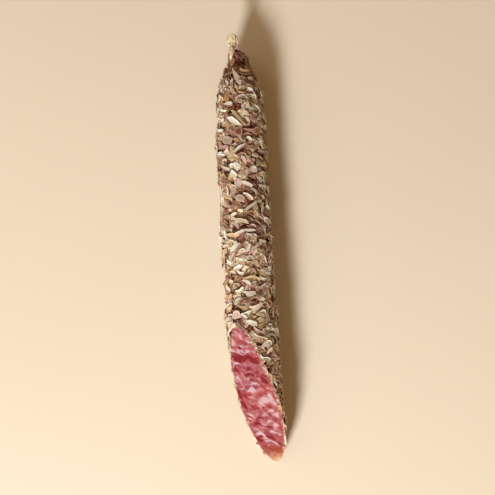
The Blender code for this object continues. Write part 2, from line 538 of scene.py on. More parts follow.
# Share down the cut, share across it from the left, half length, half width, tilt in degrees
# (positive falls to the right), bend, lightness.
MEAT_MARKS = (
    (0.05, 0.45, 2.8, 1.8, 10, 0.0, 0.22),
    (0.075, 0.59, 1.3, 0.8, 60, 0.0, 0.36),
    (0.102, 0.10, 2.2, 1.3, 75, 0.0, 0.45),
    (0.121, 0.80, 1.6, 0.9, 60, 0.0, 0.28),
    (0.148, 0.38, 1.3, 0.9, 70, 0.0, -0.34),
    (0.155, 0.10, 1.6, 0.9, 60, 0.0, 0.22),
    (0.165, 0.66, 2.0, 1.3, 60, 0.0, 0.26),
    (0.18, 0.30, 1.8, 0.5, 10, 0.1, 0.28),
    (0.222, 0.32, 4.4, 1.7, 8, -0.04, -0.66),
    (0.25, 0.74, 3.2, 1.5, 20, 0.0, -0.56),
    (0.252, 0.17, 2.4, 0.7, 10, 0.12, 0.62),
    (0.25, 0.94, 2.0, 0.8, 70, 0.0, -0.20),
    (0.293, 0.08, 2.6, 0.7, 35, 0.1, -0.50),
    (0.30, 0.48, 2.6, 0.9, 10, 0.0, -0.30),
    (0.335, 0.28, 1.6, 0.5, 30, 0.1, 0.20),
    (0.347, 0.46, 2.8, 1.4, 10, 0.0, -0.36),
    (0.361, 0.12, 2.4, 0.7, 50, 0.1, 0.45),
    (0.403, 0.83, 2.4, 1.1, 50, 0.0, -0.48),
    (0.418, 0.56, 2.4, 0.7, 10, 0.1, 0.36),
    (0.42, 0.26, 2.2, 0.5, -20, 0.15, 0.30),
    (0.452, 0.43, 1.8, 0.9, 10, 0.2, 0.48),
    (0.46, 0.66, 2.0, 0.6, 15, 0.1, 0.26),
    (0.48, 0.07, 3.0, 1.0, 75, 0.0, -0.52),
    (0.50, 0.60, 1.6, 0.6, 40, 0.0, -0.25),
    (0.515, 0.36, 2.2, 0.5, 15, 0.2, 0.30),
    (0.53, 0.86, 2.2, 1.0, 60, 0.0, 0.46),
    (0.55, 0.66, 4.2, 1.8, -5, 0.05, 0.50),
    (0.56, 0.09, 2.6, 1.0, 72, 0.0, -0.52),
    (0.575, 0.90, 1.8, 0.9, 40, 0.0, 0.38),
    (0.60, 0.55, 3.6, 0.6, 0, 0.04, -0.10),
    (0.625, 0.76, 2.4, 0.9, 10, 0.1, 0.40),
    (0.64, 0.18, 2.0, 0.55, 30, 0.1, 0.50),
    (0.655, 0.58, 2.4, 0.8, 15, 0.1, 0.34),
    (0.665, 0.12, 1.8, 0.5, 30, 0.1, 0.40),
    (0.667, 0.87, 2.0, 0.8, 30, 0.1, 0.44),
    (0.672, 0.38, 2.6, 0.45, -5, 0.1, -0.40),
    (0.704, 0.62, 2.2, 0.7, -10, 0.1, 0.38),
    (0.71, 0.28, 2.6, 1.0, 15, 0.1, -0.42),
    (0.737, 0.80, 2.0, 0.8, 20, 0.0, 0.44),
    (0.735, 0.52, 2.2, 0.5, 10, 0.0, -0.32),
    (0.785, 0.25, 2.8, 1.0, 15, 0.1, 0.54),
    (0.779, 0.67, 2.4, 0.8, 15, 0.1, 0.40),
    (0.80, 0.86, 1.4, 0.6, 30, 0.0, 0.26),
    (0.815, 0.50, 2.6, 0.6, 15, 0.1, -0.44),
    (0.825, 0.14, 1.8, 0.8, 30, 0.0, -0.46),
    (0.847, 0.50, 3.8, 0.6, 10, 0.06, 0.44),
    (0.87, 0.85, 1.4, 0.6, 30, 0.0, -0.25),
    (0.885, 0.25, 2.6, 0.7, 15, 0.0, -0.35),
    (0.905, 0.55, 3.4, 0.9, 8, 0.0, -0.52),
)


def face_outline():
    """The meat's edge on the cut, as places down it and across it."""
    angle = np.linspace(0, 2 * np.pi, 720, endpoint=False)
    along = cut_along(angle, MEAT_EDGE)
    rim = on_table(skin(along, angle, np.full_like(angle, MEAT_EDGE))) - CUT_MIDDLE
    return rim @ DOWN_CUT, rim @ ACROSS_CUT


def side_of(down, across, keep, rows):
    order = np.argsort(down[keep])
    return np.interp(rows, down[keep][order], across[keep][order])


def streak(u, v, mark):
    """One bent, soft-edged streak's share of its lightness at places down and across the cut."""
    middle_u, middle_v, half_length, half_width, tilt, bend = mark
    du, dv = u - middle_u, v - middle_v
    run = dv * math.cos(tilt) + du * math.sin(tilt)
    side = du * math.cos(tilt) - dv * math.sin(tilt) - bend * (run**2 - half_length**2 / 3)
    return np.exp(-(((run / half_length) ** 2 + (side / half_width) ** 2) ** 1.5))


def face_sides(count):
    """Rows down the cut, crowded towards its ends, and the meat's edges on them."""
    down, across = face_outline()
    first, last = np.argmin(down), np.argmax(down)
    line = np.interp(down, (down[first], down[last]), (across[first], across[last]))
    share = (1 - np.cos(np.pi * np.linspace(0.004, 0.996, count))) / 2
    rows = down[first] + (down[last] - down[first]) * share
    left = side_of(down, across, across <= line, rows)
    right = side_of(down, across, across >= line, rows)
    return rows, left, right


def meat_tone(u, v, rows, left, right):
    """How light the meat is: fine threads, and streaks of fat and of deep lean across the cut."""
    rng = np.random.default_rng(SEED + 1)
    spots = np.stack((u, v, np.zeros_like(u)), axis=1)
    warp_u = u + 0.7 * noise(spots, 2.4, 21) + 0.3 * noise(spots, 0.9, 22)
    warp_v = v + 0.7 * noise(spots, 2.4, 23) + 0.3 * noise(spots, 0.9, 24)
    cos, sin = math.cos(MEAT_LEAN), math.sin(MEAT_LEAN)
    run, side = warp_v * cos + warp_u * sin, warp_u * cos - warp_v * sin
    warped = np.stack((side, 0.4 * run, np.zeros_like(u)), axis=1)
    threads = 1 - 2 * np.abs(noise(warped, 1.1, 25))
    tone = 0.14 * threads + 0.08 * noise(warped, 0.42, 26) + 0.08 * noise(warped, 2.4, 27)
    low_u, high_u, low_v, high_v = rows[0], rows[-1], left.min(), right.max()
    for count, light in ((FAT_COUNT, 0.30), (DEEP_COUNT, -0.26)):
        for _ in range(count):
            middle = (rng.uniform(low_u, high_u), rng.uniform(low_v, high_v))
            shape = (rng.uniform(0.8, 2.6), rng.uniform(0.25, 0.7))
            bent = (rng.normal(MEAT_LEAN, 0.3), rng.normal(0.05, 0.12))
            tone += light * rng.uniform(0.4, 1.2) * streak(warp_u, warp_v, middle + shape + bent)
    tone = 0.5 + TONE_SPREAD * (tone - tone.mean()) / tone.std()
    for down, across, half_length, half_width, tilt, bend, light in MEAT_MARKS:
        middle_u = low_u + down * (high_u - low_u)
        low_v, high_v = np.interp(middle_u, rows, left), np.interp(middle_u, rows, right)
        middle_v = low_v + across * (high_v - low_v)
        mark = (middle_u, middle_v, half_length, half_width, math.radians(tilt), bend)
        tone += MARK_STRENGTH * light * streak(0.5 * (u + warp_u), 0.5 * (v + warp_v), mark)
    return tone


def make_face():
    """The sliced meat: a low relief of lean and fat inside a thin edge of casing."""
    rows, left, right = face_sides(FACE_ROWS)
    span = np.linspace(-1, 1, FACE_COLUMNS)
    span = np.sign(span) * (1 - (1 - np.abs(span)) ** 1.25)
    half = (right - left)[:, None] / 2
    u = np.repeat(rows[:, None], FACE_COLUMNS, axis=1)
    v = (left + right)[:, None] / 2 + half * span
    inset = np.minimum((1 - np.abs(span)) * half, 0.4 * np.minimum(u - rows[0], rows[-1] - u))
    u, v, inset = u.ravel(), v.ravel(), inset.ravel()

    travelled = (u - rows[0]) / (rows[-1] - rows[0])
    spots = np.stack((u, v, np.zeros_like(u)), axis=1)
    tone = meat_tone(u, v, rows, left, right)
    relief = 0.10 * (tone - 0.5) + 0.05 * noise(spots, 0.6, 28) + 0.08 * noise(spots, 2.2, 29)
    relief = (FACE_RISE + relief) * blend(0.0, 0.5, inset) - 0.02

    points = CUT_MIDDLE + u[:, None] * DOWN_CUT + v[:, None] * ACROSS_CUT
    points = points + relief[:, None] * CUT_NORMAL
    quads, places = grid_faces(FACE_ROWS, FACE_COLUMNS, False)
    numbers = np.arange(FACE_ROWS * FACE_COLUMNS).reshape(FACE_ROWS, FACE_COLUMNS)
    rim = np.concatenate((numbers[0, :], numbers[1:, -1], numbers[-1, -2::-1], numbers[-2:0:-1, 0]))
    skirt = points[rim] - SKIRT_DEPTH * CUT_NORMAL
    middle = skirt.mean(axis=0)
    skirt = middle + (skirt - middle) * 0.97
    under = len(points) + np.arange(len(rim))
    after = np.roll(np.arange(len(rim)), -1)
    walls = np.stack((rim, rim[after], under[after], under), axis=1)[:, ::-1]
    wall_places = np.full((len(walls), 4, 2), 0.001)
    base, base_places = cap_face(under)
    every = len(points) + len(skirt)

    def padded(values, fill):
        return np.concatenate((values, np.full(every - len(values), fill)))

    streaky = noise(spots * (1, 0.4, 1), 0.8, 30) + 0.6 * noise(spots, 0.5, 35)
    dry = 0.85 * blend(0.85, 0.91, travelled + 0.03 * streaky) * (1 - 0.25 * blend(0, 1, streaky))
    tip = 0.9 * blend(0.915, 0.965, travelled + 0.022 * streaky)
    pale = 0.9 * blend(0.962, 0.992, travelled + 0.012 * streaky)
    make_piece(
        "cut_face",
        np.concatenate((points, skirt)),
        [quads, walls, base],
        [places, wall_places, base_places],
        meat_material(),
        {
            "tone": padded(tone, 0.3),
            "dry": padded(dry, 0),
            "tip": padded(tip, 0),
            "rind": padded(np.maximum(0.55 * (1 - blend(0.08, 0.30, inset)), pale), 1),
        },
    )


# ---------------------------------------------------------------- flakes

COLOURS = {
    "bright": (0.80, 0.78, 0.68),
    "petal": (0.78, 0.62, 0.56),
    "white": (0.72, 0.68, 0.61),
    "blush": (0.64, 0.49, 0.44),
    "cream": (0.68, 0.575, 0.44),
    "straw": (0.55, 0.39, 0.23),
    "khaki": (0.32, 0.168, 0.082),
    "grey": (0.40, 0.305, 0.255),
    "mauve": (0.275, 0.106, 0.077),
    "maroon": (0.175, 0.046, 0.028),
    "orange": (0.54, 0.27, 0.09),
    "pink": (0.50, 0.26, 0.27),
}
NOSE_TINT = np.array((0.40, 0.21, 0.075))  # multiplies the coat's colours at the nose
NOSE_DARK = (9.0, 26.0)  # along: where the coat stops being that dark
CUT_TINT = np.array((1.10, 0.88, 0.86))  # multiplies them beside the cut
CUT_TINTED = (146.0, 172.0)  # along: where the coat turns to that tint
GAP_SIZE = 2.6
JITTER = 0.42  # share of the spacing
LOOSE_HALF = 92.0  # along: above this the flakes lie diagonally, below it across
PITS = (  # places that no flake covers: along, to +X of the axis, radius
    (3.5, -1.4, 2.8),
    (7.5, 0.2, 2.3),
    (42.0, 4.3, 1.3),
    (61.0, -5.0, 1.6),
    (80.0, 4.0, 1.4),
    (112.5, -2.4, 1.1),
    (139.5, 2.2, 1.9),
)
MARKED_SLIVERS = (  # along, to +X of the axis, length, width, turn in degrees, wedge, colour
    (15.6, -1.6, 10.6, 1.9, -24, 0.75, "petal"),
    (30.0, -6.2, 4.7, 1.4, -88, 0.1, "white"),
    (38.5, -0.9, 11.2, 1.4, -40, -0.2, "cream"),
    (36.0, 3.3, 3.6, 1.6, -39, 0.2, "cream"),
    (45.0, 5.1, 4.6, 1.3, -83, 0.1, "pink"),
    (53.5, -0.9, 7.2, 1.5, 58, 0.1, "bright"),
    (52.5, -8.6, 5.2, 1.6, -69, 0.2, "pink"),
    (51.5, -12.8, 3.8, 1.5, 0, 0.2, "cream"),
    (58.0, 6.8, 3.6, 1.6, -75, 0.0, "white"),
    (63.5, -8.8, 5.6, 1.5, -60, 0.3, "white"),
    (72.5, 1.9, 6.2, 1.6, -65, 0.1, "white"),
    (75.0, -8.4, 5.2, 1.2, -4, 0.3, "white"),
    (84.0, 3.4, 7.6, 1.4, 57, -0.2, "white"),
    (84.5, 9.3, 5.4, 1.3, 13, 0.2, "cream"),
    (97.0, -3.2, 5.0, 1.4, 73, 0.0, "white"),
    (96.5, 2.0, 5.2, 1.4, 94, 0.2, "white"),
    (102.0, 8.2, 4.4, 1.2, -82, 0.0, "white"),
    (122.5, -1.4, 4.8, 1.7, -57, 0.1, "white"),
    (124.0, -11.3, 4.6, 1.7, -51, 0.2, "white"),
    (128.5, 0.3, 5.2, 2.0, 87, 0.0, "white"),
    (131.0, 5.3, 3.6, 1.5, -59, 0.2, "white"),
    (122.5, 13.0, 3.8, 1.6, 0, 0.1, "blush"),
)
MARKED_CHIPS = (
    (19.5, -12.0, 3.2, 1.6, 60, 0.0, "white"),
    (26.5, -9.5, 3.6, 2.5, -53, 0.0, "straw"),
    (29.5, 0.2, 3.2, 2.7, 90, 0.0, "grey"),
    (38.5, -9.3, 2.7, 2.4, 90, 0.0, "white"),
    (40.0, -3.2, 7.8, 3.2, -56, 0.0, "bright"),
    (45.5, -1.1, 4.4, 4.0, 90, 0.0, "maroon"),
    (45.0, 8.2, 4.6, 3.2, 63, 0.0, "khaki"),
    (49.0, -7.5, 5.6, 4.8, 90, 0.0, "grey"),
    (50.0, -2.8, 2.6, 2.0, -74, 0.0, "orange"),
    (67.0, -4.5, 5.6, 2.8, -62, 0.0, "bright"),
    (66.5, -9.8, 2.3, 1.8, -65, 0.0, "orange"),
    (76.0, -4.2, 2.0, 1.8, 0, 0.0, "orange"),
    (79.5, -1.7, 5.2, 4.9, 90, 0.0, "grey"),
    (91.5, -2.2, 6.8, 3.0, -65, 0.0, "cream"),
    (99.0, 3.6, 3.4, 2.0, -63, 0.0, "white"),
    (106.0, -11.1, 4.0, 2.8, 90, 0.0, "straw"),
    (121.5, -9.3, 3.2, 2.0, -63, 0.0, "cream"),
    (138.0, -7.6, 6.4, 5.0, 0, 0.0, "blush"),
    (143.5, -0.3, 5.6, 3.0, -59, 0.0, "bright"),
)


def draw(rng, count, low, high):
    return rng.uniform(low, high, count)


def angle_at(along, side):
    """The angle round the sausage of a place seen from above, `side` to +X of the axis."""
    return np.arccos(np.clip(side / (profile(along) + 0.3), -0.985, 0.985))


def away_from(points, spots, reach):
    """True for the points farther than `reach` from every spot."""
    gaps = np.linalg.norm(points[:, None, :] - spots[None, :, :], axis=2)
    return (gaps > reach[None, :]).all(axis=1)


def scatter(rng, spacing, gaps, height):
    """Places on the skin about `spacing` apart, but for the gaps that let the casing show."""
    alongs, angles = [], []
    for row in np.arange(0.6, CUT_END - 1.5, spacing):
        count = max(round(2 * math.pi * float(profile(row)) / spacing), 3)
        shift = rng.random() + draw(rng, count, -JITTER, JITTER)
        angles.append((np.arange(count) + shift) * 2 * np.pi / count)
        alongs.append(np.maximum(row + spacing * draw(rng, count, -JITTER, JITTER), 0.3))
    along, angle = np.concatenate(alongs), np.concatenate(angles)
    points = skin(along, angle, np.full_like(along, height))
    keep = past_cut(points) < -0.1
    keep &= noise(points, GAP_SIZE, 31) + 0.4 * noise(points, 1.3, 32) > gaps
    pits = np.array(PITS)
    spots = skin(pits[:, 0], angle_at(pits[:, 0], pits[:, 1]), np.full(len(pits), height))
    keep &= away_from(points, spots, pits[:, 2])
    return along[keep], angle[keep]


def lie(lots, down, aside, height):
    """Lays flakes' points, (flakes, points) down and round their middles, over the skin."""
    along = np.minimum(lots["along"][:, None] + down, CUT_END - 0.3)
    girth = np.maximum(profile(lots["along"]), 3.0)[:, None]
    angle = lots["angle"][:, None] + aside / girth
    return on_table(trimmed(skin(along, angle, height), lots["spare"][:, None]))


def lie_on_cut(lots, down, across, height):
    """Lays flakes' points flat on the cut, where "along" is down it and "angle" across it."""
    u = (lots["along"][:, None] + down)[..., None] * DOWN_CUT
    v = (lots["angle"][:, None] + across)[..., None] * ACROSS_CUT
    return on_table(CUT_MIDDLE + u + v + height[..., None] * CUT_NORMAL)


def turned(lots, x, y):
    cos, sin = np.cos(lots["turn"])[:, None], np.sin(lots["turn"])[:, None]
    return x * cos - y * sin, x * sin + y * cos


def own_cells(count, places):
    """Map places inside a flake, (..., 2) from 0 to 1, moved into each flake's own cell."""
    side = math.ceil(math.sqrt(count))
    corner = np.stack(np.divmod(np.arange(count), side), axis=1)
    inside = 0.08 + 0.84 * places
    moved = (corner[:, None, None, :] + inside[None]) / side
    return moved.reshape(-1, *places.shape[1:])


def copies(faces, count, points_each):
    starts = (np.arange(count) * points_each)[:, None, None]
    return (faces[None] + starts).reshape(-1, faces.shape[1])


def flake_layers(lots, edge, x, y):
    """The number layers that a flake's material reads, for each of its points."""
    each = len(edge)
    seeds = np.broadcast_to(lots["seed"][:, None], x.shape)
    return {
        "flake": np.repeat(lots["colour"], each, axis=0),
        "edge": np.tile(edge, len(lots["along"])),
        "grain": np.stack((x, y, seeds), axis=-1).reshape(-1, 3),
    }


def columns(lots):
    """The lots as columns, one row for each flake, to combine with a row of its points."""
    return {key: value[:, None] for key, value in lots.items()}


RIBBON_STEPS = 5


def make_ribbons(name, lots, material):
    """Thin curled slivers, cut off at both ends, with the long edges cupped up or down."""
    count = len(lots["along"])
    run = np.repeat(np.linspace(-0.5, 0.5, RIBBON_STEPS + 1), 6)[None, :]
    side = np.tile((-1.0, 0.0, 1.0, 1.0, 0.0, -1.0), RIBBON_STEPS + 1)[None, :]
    rise = np.tile((1.0, 1.0, 1.0, -1.0, -1.0, -1.0), RIBBON_STEPS + 1)[None, :]
    lot = columns(lots)
    nicks = np.stack(np.broadcast_arrays(3 * run, 0.7 * side, lot["seed"]), axis=-1)
    taper = 1 - (1 - lot["blunt"]) * np.abs(2 * run) ** 2.5
    taper *= 1 + lot["wedge"] * 2 * run
    taper *= 1 + 0.35 * noise(nicks.reshape(-1, 3), 0.8, 42).reshape(count, -1)
    bend = lot["bend"] * run
    reach = lot["length"] / lot["bend"]
    half = lot["width"] / 2 * taper * side
    x = reach * np.sin(bend) - half * np.sin(bend) + lot["slant"] * half * np.abs(2 * run) ** 3
    y = reach * (1 - np.cos(bend)) + half * np.cos(bend)
    height = (
        lot["height"]
        + lot["curl"] * (2 * run) ** 2
        + lot["tilt"] * 2 * run
        + lot["roll"] * half
        + lot["cup"] * side**2 * lot["width"] * taper
        + lot["thick"] / 2 * rise
    )
    points = lie(lots, *turned(lots, x, y), height)
    quads, places = grid_faces(RIBBON_STEPS + 1, 6, True)
    ring = np.array(((0, 1, 4, 5), (1, 2, 3, 4)))
    ends = np.concatenate((ring[:, ::-1], RIBBON_STEPS * 6 + ring))
    end_places = np.full((4, 4, 2), 0.5)
    each = 6 * (RIBBON_STEPS + 1)
    edge = np.abs(side[0])
    make_piece(
        name,
        points.reshape(-1, 3),
        [copies(quads, count, each), copies(ends, count, each)],
        [own_cells(count, places), own_cells(count, end_places)],
        material,
        flake_layers(lots, edge, lot["length"] * run + 0 * half, half),
        sharp=50,
    )


CHIP_SIDES = 6
CHIP_RINGS = ((0.5, 1), (1.0, 1), (0.93, -1))  # share of the radius, and whether on top or below


def make_chips(name, lots, material, bed=lie):
    """Thin chips with ragged outlines, their edges cupped up or down."""
    count = len(lots["along"])
    step = np.arange(CHIP_SIDES) * 2 * np.pi / CHIP_SIDES
    spin = np.concatenate(((0,), *(step for _ in CHIP_RINGS), (0,)))[None, :]
    out = np.concatenate(((0,), *(np.full(CHIP_SIDES, share) for share, _ in CHIP_RINGS), (0,)))
    rise = np.concatenate(((1,), *(np.full(CHIP_SIDES, face) for _, face in CHIP_RINGS), (-1,)))
    lot = columns(lots)
    corner = np.concatenate(((0,), *(np.arange(CHIP_SIDES) for _ in CHIP_RINGS), (0,)))
    cells = np.stack(np.broadcast_arrays(corner, 0, np.arange(count)[:, None]), axis=-1)
    ragged = 1 + 0.45 * hashed(cells.reshape(-1, 3).astype(np.int64), 41).reshape(count, -1)
    radius = lot["width"] / 2 * ragged * out
    x = radius * np.cos(spin) * lot["length"] / lot["width"]
    y = radius * np.sin(spin)
    height = (
        lot["height"]
        + (lot["curl"] + lot["cup"] * lot["width"]) * out**2
        + lot["roll"] * out**2 * np.cos(2 * spin + lot["seed"])
        + lot["tilt"] * out * np.cos(spin + 2 * lot["seed"])
        + lot["thick"] / 2 * rise
    )
    points = bed(lots, *turned(lots, x, y), height)
    each = len(CHIP_RINGS) * CHIP_SIDES + 2
    ring = 1 + np.arange(CHIP_SIDES)
    after = np.roll(ring, -1)
    low, low_after = ring + 2 * CHIP_SIDES, after + 2 * CHIP_SIDES
    triangles = np.concatenate(
        (
            np.stack((np.zeros_like(ring), ring, after), axis=1),
            np.stack((low_after, low, np.full_like(ring, each - 1)), axis=1),
        )
    )
    quads = np.concatenate(
        (
            np.stack((ring, ring + CHIP_SIDES, after + CHIP_SIDES, after), axis=1),
            np.stack((ring + CHIP_SIDES, low, low_after, after + CHIP_SIDES), axis=1),
        )
    )
    flat = 0.5 + 0.5 * out[:, None] * np.stack((np.cos(spin[0]), np.sin(spin[0])), axis=1)
    halves = (flat * (0.5, 1), flat * (0.5, 1) + (0.5, 0))
    triangle_places = np.concatenate(
        (halves[0][triangles[:CHIP_SIDES]], halves[1][triangles[CHIP_SIDES:]])
    )
    quad_places = np.concatenate((halves[0][quads[:CHIP_SIDES]], halves[1][quads[CHIP_SIDES:]]))
    make_piece(
        name,
        points.reshape(-1, 3),
        [copies(triangles, count, each), copies(quads, count, each)],
        [own_cells(count, triangle_places), own_cells(count, quad_places)],
        material,
        flake_layers(lots, out**3, x, y),
        sharp=50,
    )


def icosahedron():
    """Points and faces of a unit icosahedron."""
    golden = (1 + math.sqrt(5)) / 2
    points = []
    for a, b in itertools.product((-1, 1), (-golden, golden)):
        points += [(0, a, b), (a, b, 0), (b, 0, a)]
    points = np.array(points, float)
    points /= np.linalg.norm(points, axis=1, keepdims=True)
    shortest = np.linalg.norm(points[:, None] - points[None], axis=2)
    near = (shortest > 0.1) & (shortest < 1.2)
    faces = []
    for a, b, c in itertools.combinations(range(12), 3):
        if near[a, b] and near[b, c] and near[a, c]:
            outward = np.dot(np.cross(points[b] - points[a], points[c] - points[a]), points[a])
            faces.append((a, b, c) if outward > 0 else (a, c, b))
    return points, np.array(faces)


def make_crumbs(name, lots, material):
    """Small broken bits between the flakes."""
    count = len(lots["along"])
    ball, faces = icosahedron()
    numbers = np.stack(np.meshgrid(np.arange(count), np.arange(12), (0,), indexing="ij"), axis=-1)
    uneven = 1 + 0.35 * hashed(numbers.reshape(-1, 3), 51).reshape(count, 12)
    lot = columns(lots)
    x = lot["length"] / 2 * ball[:, 0] * uneven
    y = lot["width"] / 2 * ball[:, 1] * uneven
    height = lot["height"] + lot["thick"] / 2 * ball[:, 2] * uneven
    points = lie(lots, *turned(lots, x, y), height)
    flat = 0.5 + 0.5 * ball[:, :2]
    make_piece(
        name,
        points.reshape(-1, 3),
        [copies(faces, count, 12)],
        [own_cells(count, flat[faces])],
        material,
        flake_layers(lots, np.zeros(12), x, y),
        sharp=30,
    )


def heading(rng, along):
    """Which way flakes lie: diagonally above LOOSE_HALF, and across in waves below it."""
    count = len(along)
    falling = np.where(rng.random(count) < 0.84, -0.9, 0.9)
    wave = 1.5 + 0.45 * np.sin(along / 4.5)
    across = blend(LOOSE_HALF - 18, LOOSE_HALF + 18, along)
    return np.where(rng.random(count) < across, wave, falling) + rng.normal(0, 0.5, count)


def near_nose(along):
    return 1 - blend(*NOSE_DARK, along)


EDGE_COUNT = 66
EDGE_RIGHT = 60  # how many of them lie on the cut's right side
EDGE_COLOURS = ("cream", "straw", "straw", "khaki", "khaki", "mauve")
CLUSTER_SIZE = 5.5
CLUSTERING = 0.30


def lightness(along, angle):
    """Where the flakes run light, near 1, and dark, near 0: drifts that lie as the flakes do."""
    across = blend(LOOSE_HALF - 18, LOOSE_HALF + 18, along)
    lean = 0.9 * (1 - across)
    girth = 12 * angle
    run = along + lean * girth
    side = (girth - lean * along) * (0.45 + 0.1 * across)
    spots = np.stack((run, side, np.zeros_like(run)), axis=1)
    drift = noise(spots, CLUSTER_SIZE, 33) + 0.6 * noise(spots, 0.5 * CLUSTER_SIZE, 34)
    return 0.5 + CLUSTERING * drift


def lots_of(rng, spacing, gaps, length, width, thick, height, mix, clear=None):
    """Random lots for a layer of flakes. Pairs are ranges, and mix gives the colours' shares."""
    along, angle = scatter(rng, spacing, gaps, sum(height) / 2)
    if clear is not None:
        keep = away_from(skin(along, angle, np.zeros_like(along)), *clear)
        along, angle = along[keep], angle[keep]
    count = len(along)
    room = np.clip(0.3 + (CUT_END - along) / 16, 0, 1)  # flakes are small at both ends
    room *= 1 - 0.5 * np.exp(-along / 5)
    drawn_length = draw(rng, count, *length) * room
    share = np.cumsum(np.array(list(mix.values()), float))
    drawn_place = np.clip(lightness(along, angle) + draw(rng, count, -0.5, 0.5), 0.001, 0.999)
    colours = np.array([COLOURS[key] for key in mix])
    colour = colours[np.searchsorted(share / share[-1], drawn_place)]
    colour = colour * (1 + rng.normal(0, 0.16, count))[:, None]
    colour = colour * (1 + rng.normal(0, 0.04, (count, 3)))
    colour = colour * (1 + near_nose(along)[:, None] * (NOSE_TINT - 1))
    colour = colour * (1 + blend(*CUT_TINTED, along)[:, None] * (CUT_TINT - 1))
    return {
        "along": along,
        "angle": angle,
        "turn": heading(rng, along),
        "length": drawn_length,
        "width": np.minimum(draw(rng, count, *width) * room, drawn_length),
        "thick": draw(rng, count, *thick),
        "height": draw(rng, count, *height),
        "bend": np.where(rng.random(count) < 0.5, 1, -1) * draw(rng, count, 0.2, 1.8),
        "curl": rng.normal(0.08, 0.18, count) * room,
        "tilt": rng.normal(0, 0.20, count) * room,
        "roll": rng.normal(0, 0.30, count) * room,
        "cup": rng.normal(0.06, 0.14, count) * room,
        "wedge": draw(rng, count, -0.5, 0.5),
        "blunt": draw(rng, count, 0.2, 1.0),
        "slant": draw(rng, count, -1.0, 1.0),
        "colour": np.clip(colour, 0, 0.85),
        "seed": draw(rng, count, 0, 60),
        "spare": draw(rng, count, -0.05, 0.4),
    }


def marked_lots(rng, marks):
    """Lots for the flakes that stand out, lying on top of the rest."""
    along, side, length, width, turn, wedge = (np.array(v) for v in list(zip(*marks))[:6])
    count = len(marks)
    colour = np.array([COLOURS[mark[6]] for mark in marks])
    return {
        "along": along,
        "angle": angle_at(along, side),
        "turn": np.radians(turn),
        "length": length,
        "width": width,
        "thick": draw(rng, count, 0.35, 0.5),
        "height": draw(rng, count, -0.25, 0.05),
        "bend": np.where(rng.random(count) < 0.5, 1, -1) * draw(rng, count, 0.1, 0.5),
        "curl": draw(rng, count, 0.0, 0.2),
        "tilt": rng.normal(0, 0.12, count),
        "roll": rng.normal(0, 0.15, count),
        "cup": draw(rng, count, 0.0, 0.10),
        "wedge": wedge,
        "blunt": draw(rng, count, 0.3, 0.8),
        "slant": draw(rng, count, -0.8, 0.8),
        "colour": colour,
        "seed": draw(rng, count, 0, 60),
        "spare": draw(rng, count, 0, 0.3),
    }


def edge_lots(rng):
    """Lots for the crumbs that overlap the meat's edge, nearly all on the coat's side of it."""
    rows, left, right = face_sides(FACE_ROWS)
    on_right = np.arange(EDGE_COUNT) < EDGE_RIGHT
    share = np.where(on_right, draw(rng, EDGE_COUNT, 0.0, 0.66), draw(rng, EDGE_COUNT, 0.0, 0.15))
    u = rows[0] + share * (rows[-1] - rows[0])
    edge = np.where(on_right, np.interp(u, rows, right), np.interp(u, rows, left))
    outward = np.where(on_right, 1, -1) * draw(rng, EDGE_COUNT, -0.5, 0.9)
    length = draw(rng, EDGE_COUNT, 0.9, 2.2)
    return {
        "along": u,
        "angle": edge + outward,
        "turn": draw(rng, EDGE_COUNT, 0, np.pi),
        "length": length,
        "width": np.minimum(draw(rng, EDGE_COUNT, 0.7, 1.4), length),
        "thick": draw(rng, EDGE_COUNT, 0.2, 0.35),
        "height": draw(rng, EDGE_COUNT, 0.1, 0.3),
        "curl": rng.normal(0.05, 0.1, EDGE_COUNT),
        "tilt": rng.normal(0, 0.12, EDGE_COUNT),
        "roll": rng.normal(0, 0.12, EDGE_COUNT),
        "cup": rng.normal(0.05, 0.08, EDGE_COUNT),
        "colour": np.array([COLOURS[key] for key in rng.choice(EDGE_COLOURS, EDGE_COUNT)]),
        "seed": draw(rng, EDGE_COUNT, 0, 60),
    }


def together(first, second):
    return {key: np.concatenate((first[key], second[key])) for key in first}


def marked_spots():
    """Where the flakes that stand out lie, and how far the others' middles keep from them."""
    marks = np.array([mark[:4] for mark in MARKED_SLIVERS + MARKED_CHIPS])
    along, side, length, width = marks.T
    spots = skin(along, angle_at(along, side), np.zeros_like(along))
    return spots, 0.5 * width + 0.18 * length + 0.4


# Each mix runs from its darkest colour to its lightest.
DARK_MIX = {"maroon": 5, "mauve": 4, "khaki": 1.5}
MIDDLE_MIX = {"maroon": 4, "mauve": 6.5, "khaki": 4.5, "pink": 0.5, "grey": 2, "orange": 0.4, "straw": 2}
PALE_MIX = {"mauve": 0.6, "khaki": 1.4, "orange": 0.2, "straw": 2.4, "blush": 1, "cream": 4, "white": 6}


